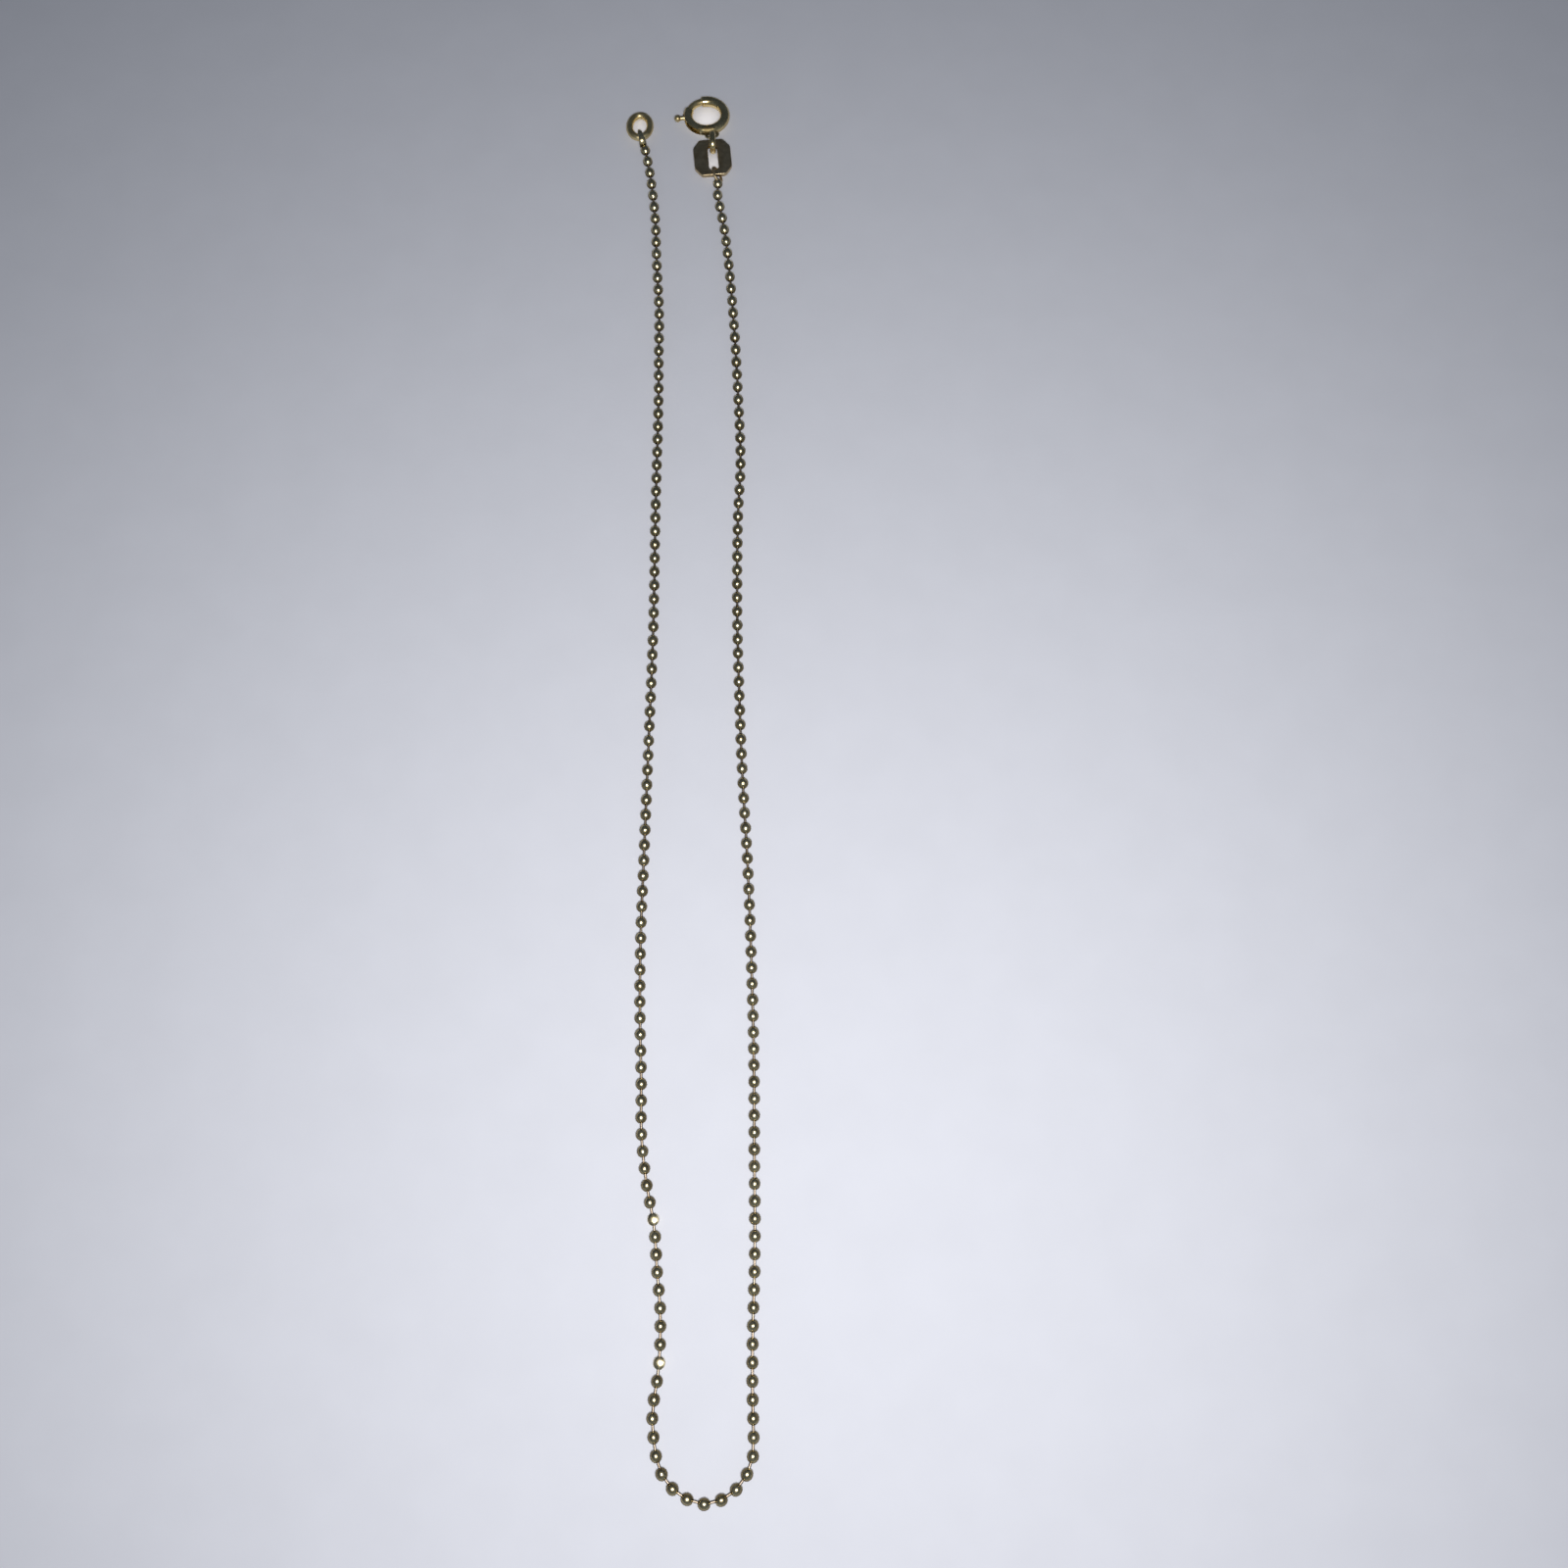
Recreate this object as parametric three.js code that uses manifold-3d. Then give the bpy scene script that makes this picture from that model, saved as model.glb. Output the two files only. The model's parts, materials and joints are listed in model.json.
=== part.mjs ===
// A gold anklet of diamond-cut beads, unfastened and laid out as a long narrow U.
// One end carries a jump ring. The other carries a slotted tag plate, a loose link and a spring ring clasp.
// Millimetres. +X is to the right, +Y runs from the bend to the two ends, and the anklet lies on z = 0.
import * as THREE from "three";
import { mergeVertices } from "three/addons/utils/BufferGeometryUtils.js";
import Module from "manifold-3d";

const wasm = await Module();
wasm.setup();

// The bead chain: hollow beads with a flat cut band, threaded on short rods.
const BEAD_COUNT = 184;
const BEADS_IN_LEFT_STRAND = 93;
const BEAD_SIDES = 10;
const BEAD_RADIUS = 0.475; // at the corners of the band
const BEAD_BAND = 0.36; // width of the flat band along the chain
const BEAD_LENGTH = 0.9; // from hole to hole
const ROD_SIDES = 5;
const ROD_RADIUS = 0.115;
const STRAND_GAP = 0.06; // between the rod stubs where the two strands meet
const BEAD_HEIGHT = BEAD_RADIUS * Math.cos(Math.PI / BEAD_SIDES); // centre, one flat on the ground

// Bead centres, picked along the route from the left end round the bend to the right end.
const ROUTE = [
  { x: -4.78, y: 56.76 },
  { x: -4.3, y: 54.3 },
  { x: -3.65, y: 49.1 },
  { x: -3.35, y: 43.8 },
  { x: -3.0, y: 38.5 },
  { x: -2.95, y: 34.5 },
  { x: -2.85, y: 29.3 },
  { x: -2.85, y: 18.8 },
  { x: -2.77, y: 7.1 },
  { x: -2.9, y: -3.3 },
  { x: -3.03, y: -13 },
  { x: -3.12, y: -20.3 },
  { x: -3.02, y: -26 },
  { x: -2.75, y: -32 },
  { x: -2.62, y: -36.1 },
  { x: -2.08, y: -40 },
  { x: -1.5, y: -42.6 },
  { x: -1.12, y: -46.5 },
  { x: -0.84, y: -49 },
  { x: -0.84, y: -53 },
  { x: -1.18, y: -55.6 },
  { x: -1.25, y: -56.9 },
  { x: -1.1, y: -58.2 },
  { x: -0.84, y: -59.6 },
  { x: -0.3, y: -60.8 },
  { x: 0.57, y: -61.7 },
  { x: 1.65, y: -62.3 },
  { x: 2.9, y: -62.55 },
  { x: 4.1, y: -62.22 },
  { x: 5.1, y: -61.55 },
  { x: 5.88, y: -60.5 },
  { x: 6.3, y: -59.25 },
  { x: 6.33, y: -57.8 },
  { x: 6.24, y: -55 },
  { x: 6.22, y: -51.4 },
  { x: 6.35, y: -45 },
  { x: 6.27, y: -36.8 },
  { x: 6.2, y: -30.2 },
  { x: 6.0, y: -23.6 },
  { x: 5.6, y: -14.3 },
  { x: 5.1, y: -6.5 },
  { x: 4.75, y: 1.3 },
  { x: 4.53, y: 8 },
  { x: 4.5, y: 17.5 },
  { x: 4.69, y: 23.2 },
  { x: 4.42, y: 29.7 },
  { x: 3.85, y: 38.9 },
  { x: 3.1, y: 46.7 },
  { x: 2.7, y: 49.2 },
  { x: 2.26, y: 51.7 },
  { x: 2.26, y: 52.95 },
];

// The left end loop reaches round the near wire of the jump ring, which it holds just off the ground.
const LEFT_LOOP = {
  wire: 0.24,
  breadth: 0.7, // of the flattened wire at the bead
  farBreadth: 0.26, // and at the far end of the loop
  length: 1.78,
  width: 1.34,
  turn: 16,
  roll: 0,
  x: -5.19,
  y: 57.935,
  z: 0.68,
};
const JUMP_RING = { wire: 0.76, length: 3.46, width: 2.66, tilt: -5.8, x: -5.37, y: 59.465, z: 0.53 };

// The right end loop and the clasp link reach through the slot of the tag plate and hold it off the ground.
const RIGHT_LOOP = { wire: 0.26, length: 1.76, width: 1.46, turn: 13, roll: 34, x: 2.2, y: 53.81, z: 0.62 };
const CLASP_LINK = { wire: 0.3, breadth: 0.56, length: 2.2, width: 1.8, turn: 2, roll: 0, x: 1.73, y: 57.3, z: 0.93 };
const TAG = {
  width: 3.58,
  length: 4.03,
  thickness: 0.42,
  corner: 0.88, // each cut corner, along the edge
  cornerDepth: 0.66, // and across it
  slotWidth: 0.92,
  slotNear: -1.52,
  slotFar: 1.4,
  slotOffset: 0.05,
  bevel: 0.07,
  turn: 5.5,
  x: 1.73,
  y: 55.69,
  z: 0.66,
};

// The spring ring lies on its far side and leans on the clasp link with its near side.
const CLASP = {
  radius: 1.8, // to the middle of the tube
  tube: 0.475,
  bore: 0.38,
  tilt: -4.5,
  x: 1.07,
  y: 60.64,
  z: 0.62,
};
const MOUTH_FROM = 106; // degrees from +X, anticlockwise from above
const MOUTH_TO = 160;
const SOCKET_DEPTH = 14; // degrees of bore past the mouth, where the bolt's tip lodges
const BORE_END = 262;
const OVERCUT = 4; // degrees by which a bore runs out past the end of the tube
const KNOB_SLOT = { from: 180, to: 254, radius: 0.31, offset: 0.36 }; // out from the tube
const EYE = { angle: 283.5, wire: 0.2, hole: 0.48, widen: 1.6, rise: 0.05 };
const BOLT = { radius: 0.32, tip: 97, tail: 202 };
const KNOB = { angle: 187, neck: 0.2, ball: 0.33, reach: 3.14 };

const RING_SIDES = 10; // round the section of a ring or a tube
const WIRE_SIDES = 6;
const BORE_SIDES = 8;
const RING_STEPS = 24; // along a whole ring
const LINK_STEPS = 12; // along a whole link
const TUBE_STEP = 15; // degrees along the clasp's tube
const BOLT_STEP = 9; // and along its bolt and bore
const KNOB_RINGS = 5;
const SAMPLES_A_ROW = 40; // of the route, to space the beads evenly along it
const DEGREE = Math.PI / 180;
const UP = new THREE.Vector3(0, 0, 1);

function material(color, roughness) {
  return new THREE.MeshStandardMaterial({ color, roughness, metalness: 1 });
}
const CHAIN_GOLD = material(0xd9bd76, 0.22);
const RING_GOLD = material(0xd2b56c, 0.26);
const PLATE_GOLD = material(0xc9ab62, 0.34);

// A closed three.js geometry as a solid that can be joined and cut.
function solid(geometry) {
  const bare = geometry.clone();
  bare.deleteAttribute("normal");
  bare.deleteAttribute("uv");
  const merged = mergeVertices(bare, 1e-5);
  return new wasm.Manifold(
    new wasm.Mesh({
      numProp: 3,
      vertProperties: new Float32Array(merged.attributes.position.array),
      triVerts: new Uint32Array(merged.index.array),
    }),
  );
}

function geometryOf(body) {
  const { vertProperties, triVerts } = body.getMesh();
  const geometry = new THREE.BufferGeometry();
  geometry.setAttribute("position", new THREE.BufferAttribute(vertProperties, 3));
  geometry.setIndex(new THREE.BufferAttribute(triVerts, 1));
  geometry.computeVertexNormals();
  return geometry;
}

function regularPolygon(radius, sides) {
  const corners = [];
  for (let i = 0; i < sides; i++) {
    const angle = ((i + 0.5) / sides) * 2 * Math.PI;
    corners.push(new THREE.Vector2(radius * Math.cos(angle), radius * Math.sin(angle)));
  }
  return new THREE.Shape(corners);
}

// A stretch of round bar bent to a level arc about the origin, its ends flat.
class LevelArc extends THREE.Curve {
  constructor(radius, from, to) {
    super();
    this.radius = radius;
    this.from = from * DEGREE;
    this.to = to * DEGREE;
  }
  getPoint(share, target = new THREE.Vector3()) {
    const angle = this.from + (this.to - this.from) * share;
    return target.set(this.radius * Math.cos(angle), this.radius * Math.sin(angle), 0);
  }
}

function bentBar(radius, barRadius, from, to, sides, stepDegrees) {
  return new THREE.ExtrudeGeometry(regularPolygon(barRadius, sides), {
    steps: Math.ceil((to - from) / stepDegrees),
    extrudePath: new LevelArc(radius, from, to),
  });
}

// A closed link of round wire: a ring cut in half across its length and drawn apart.
// Length and width are over the wire, and the link lies flat, its length along Y. The breadth of the wire,
// across the link, may change from the near end to the far one.
function linkGeometry({ wire, breadth = wire, farBreadth = breadth, length, width }, sides, steps) {
  const middle = (width - wire) / 2;
  const ring = new THREE.TorusGeometry(middle, wire / 2, sides, steps);
  ring.rotateZ(Math.PI / steps);
  const draw = (length - width) / 2;
  const position = ring.attributes.position;
  for (let i = 0; i < position.count; i++) {
    const y = position.getY(i) + Math.sign(position.getY(i)) * draw;
    const across = breadth + (farBreadth - breadth) * (y / length + 0.5);
    position.setY(i, y);
    position.setZ(i, position.getZ(i) * (across / wire));
  }
  return ring;
}

// The place of a link that stands on edge, leans over by its roll and is turned about +Z.
function standingPlace({ turn, roll, x, y, z }) {
  const euler = new THREE.Euler(0, (90 - roll) * DEGREE, turn * DEGREE, "ZYX");
  return new THREE.Matrix4().makeRotationFromEuler(euler).setPosition(x, y, z);
}

// The corners of one ring of a strand, round the chain's own direction, with a flat side at the bottom.
function strandRing(centre, along, radius, sides) {
  const side = new THREE.Vector3().crossVectors(along, UP).normalize();
  const ring = [];
  for (let i = 0; i < sides; i++) {
    const angle = ((i + 0.5) / sides) * 2 * Math.PI - Math.PI / 2;
    ring.push(
      centre
        .clone()
        .addScaledVector(side, radius * Math.cos(angle))
        .addScaledVector(UP, radius * Math.sin(angle)),
    );
  }
  return ring;
}

// Triangles between two rings of corners, which need not have the same count.
function bridge(faces, first, firstCount, second, secondCount) {
  let i = 0;
  let j = 0;
  while (i < firstCount || j < secondCount) {
    const a = first + (i % firstCount);
    const b = second + (j % secondCount);
    const firstBehind = (i + 0.5) / firstCount < (j + 0.5) / secondCount;
    if (j >= secondCount || (i < firstCount && firstBehind)) {
      faces.push(a, b, first + ((i + 1) % firstCount));
      i++;
    } else {
      faces.push(a, b, second + ((j + 1) % secondCount));
      j++;
    }
  }
}

// Beads from one number to another, fused to their rods, as one closed geometry.
function strandGeometry(centres, from, to) {
  const half = BEAD_LENGTH / 2;
  const band = BEAD_BAND / 2;
  const profile = [
    { at: -half, radius: ROD_RADIUS, sides: ROD_SIDES },
    { at: -band, radius: BEAD_RADIUS, sides: BEAD_SIDES },
    { at: band, radius: BEAD_RADIUS, sides: BEAD_SIDES },
    { at: half, radius: ROD_RADIUS, sides: ROD_SIDES },
  ];
  const rings = [];
  for (let i = from; i <= to; i++) {
    const along = new THREE.Vector3()
      .subVectors(centres[Math.min(i + 1, BEAD_COUNT - 1)], centres[Math.max(i - 1, 0)])
      .normalize();
    for (const { at, radius, sides } of profile) {
      const centre = centres[i].clone().addScaledVector(along, at);
      rings.push({ corners: strandRing(centre, along, radius, sides), sides });
    }
  }
  // Half a rod reaches towards the neighbour that is in the other strand.
  const addStub = (last, next, put) => {
    const along = new THREE.Vector3().subVectors(next, last);
    const centre = last.clone().addScaledVector(along, 0.5 - STRAND_GAP / 2 / along.length());
    const forward = put === "push" ? along.normalize() : along.normalize().negate();
    rings[put]({ corners: strandRing(centre, forward, ROD_RADIUS, ROD_SIDES), sides: ROD_SIDES });
  };
  if (to < BEAD_COUNT - 1) addStub(centres[to], centres[to + 1], "push");
  if (from > 0) addStub(centres[from], centres[from - 1], "unshift");

  const points = rings.flatMap((ring) => ring.corners);
  const faces = [];
  let first = 0;
  for (let r = 0; r + 1 < rings.length; r++) {
    const second = first + rings[r].sides;
    bridge(faces, first, rings[r].sides, second, rings[r + 1].sides);
    first = second;
  }
  for (let k = 1; k + 1 < ROD_SIDES; k++) {
    faces.push(0, k, k + 1);
    faces.push(first, first + k + 1, first + k);
  }
  const geometry = new THREE.BufferGeometry().setFromPoints(points);
  geometry.setIndex(faces);
  return geometry;
}

function named(name, geometry, look) {
  const mesh = new THREE.Mesh(geometry, look);
  mesh.name = name;
  return mesh;
}

function chainStrand(name, centres, from, to, loop) {
  const loopGeometry = linkGeometry(loop, WIRE_SIDES, LINK_STEPS);
  loopGeometry.applyMatrix4(standingPlace(loop));
  const fused = solid(strandGeometry(centres, from, to)).add(solid(loopGeometry));
  return named(name, geometryOf(fused), CHAIN_GOLD);
}

function jumpRing() {
  const mesh = named("jump_ring", linkGeometry(JUMP_RING, RING_SIDES, RING_STEPS), RING_GOLD);
  mesh.rotation.x = JUMP_RING.tilt * DEGREE;
  mesh.position.set(JUMP_RING.x, JUMP_RING.y, JUMP_RING.z);
  return mesh;
}

function claspLink() {
  const mesh = named("clasp_link", linkGeometry(CLASP_LINK, WIRE_SIDES, LINK_STEPS), RING_GOLD);
  standingPlace(CLASP_LINK).decompose(mesh.position, mesh.quaternion, mesh.scale);
  return mesh;
}

function tagPlate() {
  const { width, length, thickness, corner, cornerDepth, bevel } = TAG;
  const [halfWidth, halfLength] = [width / 2, length / 2];
  const outline = new THREE.Shape();
  outline.moveTo(halfWidth - cornerDepth, -halfLength);
  outline.lineTo(halfWidth, -halfLength + corner);
  outline.lineTo(halfWidth, halfLength - corner);
  outline.lineTo(halfWidth - cornerDepth, halfLength);
  outline.lineTo(-halfWidth + cornerDepth, halfLength);
  outline.lineTo(-halfWidth, halfLength - corner);
  outline.lineTo(-halfWidth, -halfLength + corner);
  outline.lineTo(-halfWidth + cornerDepth, -halfLength);
  outline.closePath();

  const slotRadius = TAG.slotWidth / 2;
  const slot = new THREE.Path();
  slot.absarc(TAG.slotOffset, TAG.slotFar - slotRadius, slotRadius, 0, Math.PI);
  slot.absarc(TAG.slotOffset, TAG.slotNear + slotRadius, slotRadius, Math.PI, 2 * Math.PI);
  slot.closePath();
  outline.holes.push(slot);

  const plate = new THREE.ExtrudeGeometry(outline, {
    depth: thickness - 2 * bevel,
    curveSegments: 6,
    bevelThickness: bevel,
    bevelSize: bevel,
    bevelOffset: -bevel,
    bevelSegments: 1,
  });
  plate.translate(0, 0, bevel - thickness / 2);
  const mesh = named("tag_plate", plate, PLATE_GOLD);
  mesh.rotation.z = TAG.turn * DEGREE;
  mesh.position.set(TAG.x, TAG.y, TAG.z);
  return mesh;
}

// The clasp's tube is an open ring with an eye soldered to it, bored from both sides of its mouth for the
// bolt and slotted for the knob.
function springRing() {
  const { radius, tube, bore } = CLASP;
  const { angle, wire, hole, widen, rise } = EYE;
  const ring = bentBar(radius, tube, MOUTH_TO, MOUTH_FROM + 360, RING_SIDES, TUBE_STEP);
  const boltBore = bentBar(radius, bore, MOUTH_TO - OVERCUT, BORE_END, BORE_SIDES, BOLT_STEP);
  const socketEnd = MOUTH_FROM - SOCKET_DEPTH;
  const socket = bentBar(radius, bore, socketEnd, MOUTH_FROM + OVERCUT, BORE_SIDES, BOLT_STEP);
  const knobSlot = bentBar(
    radius + KNOB_SLOT.offset,
    KNOB_SLOT.radius,
    KNOB_SLOT.from,
    KNOB_SLOT.to,
    BORE_SIDES,
    BOLT_STEP,
  );
  const eye = new THREE.TorusGeometry((hole + wire) / 2, wire / 2, WIRE_SIDES, LINK_STEPS);
  eye.scale(1, widen, 1);
  eye.translate(radius + tube + hole / 2, 0, rise);
  eye.rotateZ(angle * DEGREE);
  const body = solid(ring)
    .add(solid(eye))
    .subtract(solid(boltBore))
    .subtract(solid(socket))
    .subtract(solid(knobSlot));
  return named("spring_ring", geometryOf(body), RING_GOLD);
}

// The bolt closes the mouth from inside the tube, and its knob stands out through the slot.
function claspTrigger() {
  const { neck, ball, reach } = KNOB;
  const bolt = bentBar(CLASP.radius, BOLT.radius, BOLT.tip, BOLT.tail, WIRE_SIDES, BOLT_STEP);
  const profile = [new THREE.Vector2(0, CLASP.radius), new THREE.Vector2(neck, CLASP.radius)];
  const neckAngle = Math.asin(neck / ball);
  for (let ring = 0; ring <= KNOB_RINGS; ring++) {
    const angle = neckAngle + ((Math.PI - neckAngle) * ring) / KNOB_RINGS;
    profile.push(new THREE.Vector2(ball * Math.sin(angle), reach - ball - ball * Math.cos(angle)));
  }
  const knob = new THREE.LatheGeometry(profile, RING_SIDES);
  knob.rotateZ(KNOB.angle * DEGREE - Math.PI / 2);
  return named("clasp_trigger", geometryOf(solid(bolt).add(solid(knob))), RING_GOLD);
}

function clasp() {
  const group = new THREE.Group();
  group.add(springRing(), claspTrigger());
  group.rotation.x = CLASP.tilt * DEGREE;
  group.position.set(CLASP.x, CLASP.y, CLASP.z);
  return group;
}

const route = new THREE.CatmullRomCurve3(ROUTE.map(({ x, y }) => new THREE.Vector3(x, y, BEAD_HEIGHT)));
route.arcLengthDivisions = SAMPLES_A_ROW * ROUTE.length;
const beadCentres = route.getSpacedPoints(BEAD_COUNT - 1);

const anklet = new THREE.Group();
anklet.add(
  chainStrand("chain_left", beadCentres, 0, BEADS_IN_LEFT_STRAND - 1, LEFT_LOOP),
  chainStrand("chain_right", beadCentres, BEADS_IN_LEFT_STRAND, BEAD_COUNT - 1, RIGHT_LOOP),
  jumpRing(),
  tagPlate(),
  claspLink(),
  clasp(),
);

export default anklet;
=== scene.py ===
"""The looks of a gold bead chain anklet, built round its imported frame.

The script is laid out as an add-on and run as a script. Each operator makes one piece of the anklet or a
group of like pieces, and one lays the paper, the light and the camera. Small parts are shaped in
millimetres and brought to metres when they are finished, because the frame is in metres.
"""

import json
import math
import random

import bmesh
import bpy
import numpy as np
from bpy.props import FloatProperty, FloatVectorProperty, IntProperty, PointerProperty
from mathutils import Matrix, Vector

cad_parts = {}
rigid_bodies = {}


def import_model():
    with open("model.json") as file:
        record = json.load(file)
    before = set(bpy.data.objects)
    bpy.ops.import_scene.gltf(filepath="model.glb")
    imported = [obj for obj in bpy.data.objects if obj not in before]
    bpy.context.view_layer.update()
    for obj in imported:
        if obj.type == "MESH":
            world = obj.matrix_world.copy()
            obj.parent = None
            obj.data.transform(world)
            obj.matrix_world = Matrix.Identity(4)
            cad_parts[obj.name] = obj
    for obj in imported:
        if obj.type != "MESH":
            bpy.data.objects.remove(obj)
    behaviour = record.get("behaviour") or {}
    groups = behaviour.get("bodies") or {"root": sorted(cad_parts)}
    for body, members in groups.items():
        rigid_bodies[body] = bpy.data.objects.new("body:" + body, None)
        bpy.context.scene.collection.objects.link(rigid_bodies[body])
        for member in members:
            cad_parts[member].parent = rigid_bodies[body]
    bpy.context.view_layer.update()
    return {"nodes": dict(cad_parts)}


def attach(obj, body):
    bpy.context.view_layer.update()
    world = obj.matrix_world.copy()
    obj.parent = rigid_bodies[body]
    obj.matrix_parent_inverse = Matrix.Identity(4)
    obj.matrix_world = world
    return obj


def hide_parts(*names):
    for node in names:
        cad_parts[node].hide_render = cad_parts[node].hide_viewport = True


bl_info = {
    "name": "Bead chain anklet",
    "version": (1, 0, 0),
    "blender": (4, 5, 0),
    "location": "3D View > Sidebar > Anklet",
    "description": "Makes an unfastened gold anklet: beads on rods, a tag plate and a spring ring clasp",
    "category": "Add Mesh",
}

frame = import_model()

MM = 0.001
MICROWATT = 1e-6
ANKLET = "anklet"
TRIGGER = "trigger"
UP = Vector((0, 0, 1))

# A bead is nearly a ball, threaded along Z, with a flat cap where the rod enters at each end. Its rows of
# corners run from cap to cap, and its sizes are in millimetres.
BEAD_SIDES = 12
BEAD_ROWS = 6
BEAD_RADIUS = 0.483
BEAD_HALF = 0.46  # half its length
BEAD_END = 65  # degrees from its widest place to the rim of a cap
BEAD_KINDS = 6
BEAD_DENT = 0.025  # share of the radius by which a corner may be dented
WORN_BEADS = (76, 84)  # beads of the left strand that are rubbed down on top, counted from the end loop
WORN_FROM = 0.15  # height over the bead's middle above which it is rubbed down
WORN_SHARE = 0.3  # share of the height over that level that is left
BEAD_MIDDLE = 0.4518  # height of a bead's middle off the ground
GROUND_BAND = 0.002  # how far off the ground a corner of a flat that stands on it may lie
FLAT_REACH = 0.5  # how far apart the corners of one flat may lie
FLAT_CORNERS = 4
DECIMALS = 3  # to which the frame's corners are compared, in millimetres
SEED_STEP = 10  # between the seeds of the two strands
ROD_SIDES = 12
END_ROD = 0.46  # from the middle of a strand's last bead into its loop

# Links and rings of wire, in millimetres and degrees. Their length and width are taken over the wire. The
# breadth is the wire's size across the link, where it is hammered flat.
LEFT_LOOP = {
    "wire": 0.24,
    "breadth": 0.7,
    "far_breadth": 0.26,
    "length": 1.78,
    "width": 1.34,
    "turn": 16,
    "roll": 0,
    "at": (-5.19, 57.935, 0.68),
}
RIGHT_LOOP = {
    "wire": 0.26,
    "length": 1.76,
    "width": 1.46,
    "turn": 13,
    "roll": 34,
    "at": (2.2, 53.81, 0.62),
}
CLASP_LINK = {
    "wire": 0.3,
    "breadth": 0.56,
    "length": 2.2,
    "width": 1.8,
    "turn": 2,
    "roll": 0,
    "at": (1.73, 57.3, 0.93),
}
JUMP_RING = {
    "wire": 0.68,
    "length": 3.46,
    "width": 2.66,
    "oval": True,
    "tilt": -5.8,
    "at": (-5.37, 59.465, 0.53),
}

TAG = {
    "width": 3.58,
    "length": 4.03,
    "thickness": 0.42,
    "corner": 0.88,  # each cut corner, along the edge
    "corner_depth": 0.66,  # and across it
    "slot_width": 0.92,
    "slot_near": -1.52,
    "slot_far": 1.4,
    "slot_offset": 0.05,
    "bevel": 0.07,
    "rounding": 0.22,  # of the outline's corners, along the edge
    "turn": 5.5,
    "at": (1.73, 55.69, 0.66),
}

# The clasp about its own centre. Its angles run anticlockwise from +X, seen from above. The bolt crosses the
# mouth from the tube's long bore into the socket in the tube's other end.
CLASP = {"radius": 1.8, "tube": 0.475, "bore": 0.38, "tilt": -4.5, "at": (1.07, 60.64, 0.62)}
MOUTH_FROM = 106
MOUTH_TO = 160
SOCKET_DEPTH = 14
BORE_END = 262
OVERCUT = 4  # degrees by which a cutter reaches past the tube's end
KNOB_SLOT = {"from": 180, "to": 254, "radius": 0.31, "offset": 0.36}
EYE = {"angle": 283.5, "wire": 0.2, "hole": 0.48, "widen": 1.6, "rise": 0.05}
BOLT = {"radius": 0.32, "tip": 97, "tail": 202}
KNOB = {"angle": 187, "neck": 0.2, "ball": 0.33, "reach": 3.14}
TUBE_EDGE = 0.06  # rounding of the tube's two ends
BOLT_EDGE = 0.14  # and of the bolt's

WIRE_SIDES = 20
LINK_STEPS = 48
TUBE_SIDES = 32
TUBE_STEP = 4  # degrees along the clasp's tube
EDGE_STEPS = 4
SLOT_STEPS = 12
CORNER_STEPS = 4
KNOB_RINGS = 12
SMOOTH_BELOW = 34  # degrees between two faces that are shaded as one surface
SEAM = 1e-5  # millimetres between corners that are taken as one

# The gold finishes: which colour each has, how rough, dented and lined it is, and whether it has painted dark
# sides:
# a painted shade that darkens the base colour where the surface faces sideways or down.
FINISHES = {
    "chain": {"colour": "chain", "roughness": 0.27, "dents": 0.12, "lines": 0.1, "painted_dark_sides": True},
    "ring": {"colour": "ring", "roughness": 0.27, "dents": 0.4, "lines": 0.12, "painted_dark_sides": False},
    "worn": {"colour": "ring", "roughness": 0.42, "dents": 0.4, "lines": 0.2, "painted_dark_sides": False},
    "dull": {"colour": "plate", "roughness": 0.5, "dents": 0.3, "lines": 0.2, "painted_dark_sides": False},
    "plate": {"colour": "plate", "roughness": 0.38, "dents": 0.3, "lines": 0.35, "painted_dark_sides": False},
}
TARNISH = (0.78, 0.74, 0.68)  # what cloudy tarnish leaves of red, green and blue
PAINTED_SIDE_SHADE = (0.19, 0.17, 0.115)  # and what the painted shade on the chain's sides leaves
BARE = (1, 1, 1)  # and what clean gold does
TARNISH_BAND = (0.38, 0.6)  # from full tarnish to none, on the cloud noise
PAINTED_SHADE_BAND = (0.58, 0.84)  # from full painted side shade to none, on how far the chain is spared it
ROD_TINT = (0.61, 0.57, 0.71)  # the rods' gold against the beads'
ROD_ROUGHNESS = 0.44
PAINTED_SHADE_FADE = {"from": 25, "to": 56, "gain": 0.3}  # the painted side shade eases towards the chain's end at +Y, along Y
SOLDER = {"at": (1.3, 58.6, 1.1), "reach": 0.75}  # the dull patch where the clasp's eye is soldered on
SOLDER_EDGE = 0.5  # the share of its reach from which the patch fades
SOLDER_TINT = (0.4, 0.38, 0.34)
SOLDER_ROUGHNESS = 0.5

# The noises of the gold, with depths in millimetres. The wear's band of noise changes a finish's roughness by
# the swing, as a share of it.
CLOUDS = {"Scale": 1100.0, "Detail": 3.0, "Roughness": 0.6}
WEAR = {"Scale": 5200.0, "Detail": 4.0, "Roughness": 0.65}
WEAR_BAND = (0.3, 0.7)
WEAR_SWING = 0.25
DENTS = {"Scale": 2100.0, "Detail": 1.0}
DENT_DEPTH = 0.03
LINES = {"Scale": 26000.0, "Detail": 2.0}
LINE_COURSE = {"Scale": (1.0, 0.08, 1.0), "Rotation": (0.2, 0.35, 0.6)}  # drawn out and slanted
LINE_DEPTH = 0.003

# The paper is matt, with clouds that darken it a little and fibres that stand up from it.
PAPER_GLOSS = {"Roughness": 0.95, "Specular IOR Level": 0.1}
PAPER_CLOUDS = {"Scale": 220.0, "Detail": 5.0}
PAPER_BAND = (0.3, 0.7)
PAPER_SHADE = 0.975
FIBRES = {"Scale": 2600.0, "Detail": 3.0}
FIBRE_STRENGTH = 0.25
FIBRE_DEPTH = 0.02

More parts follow.
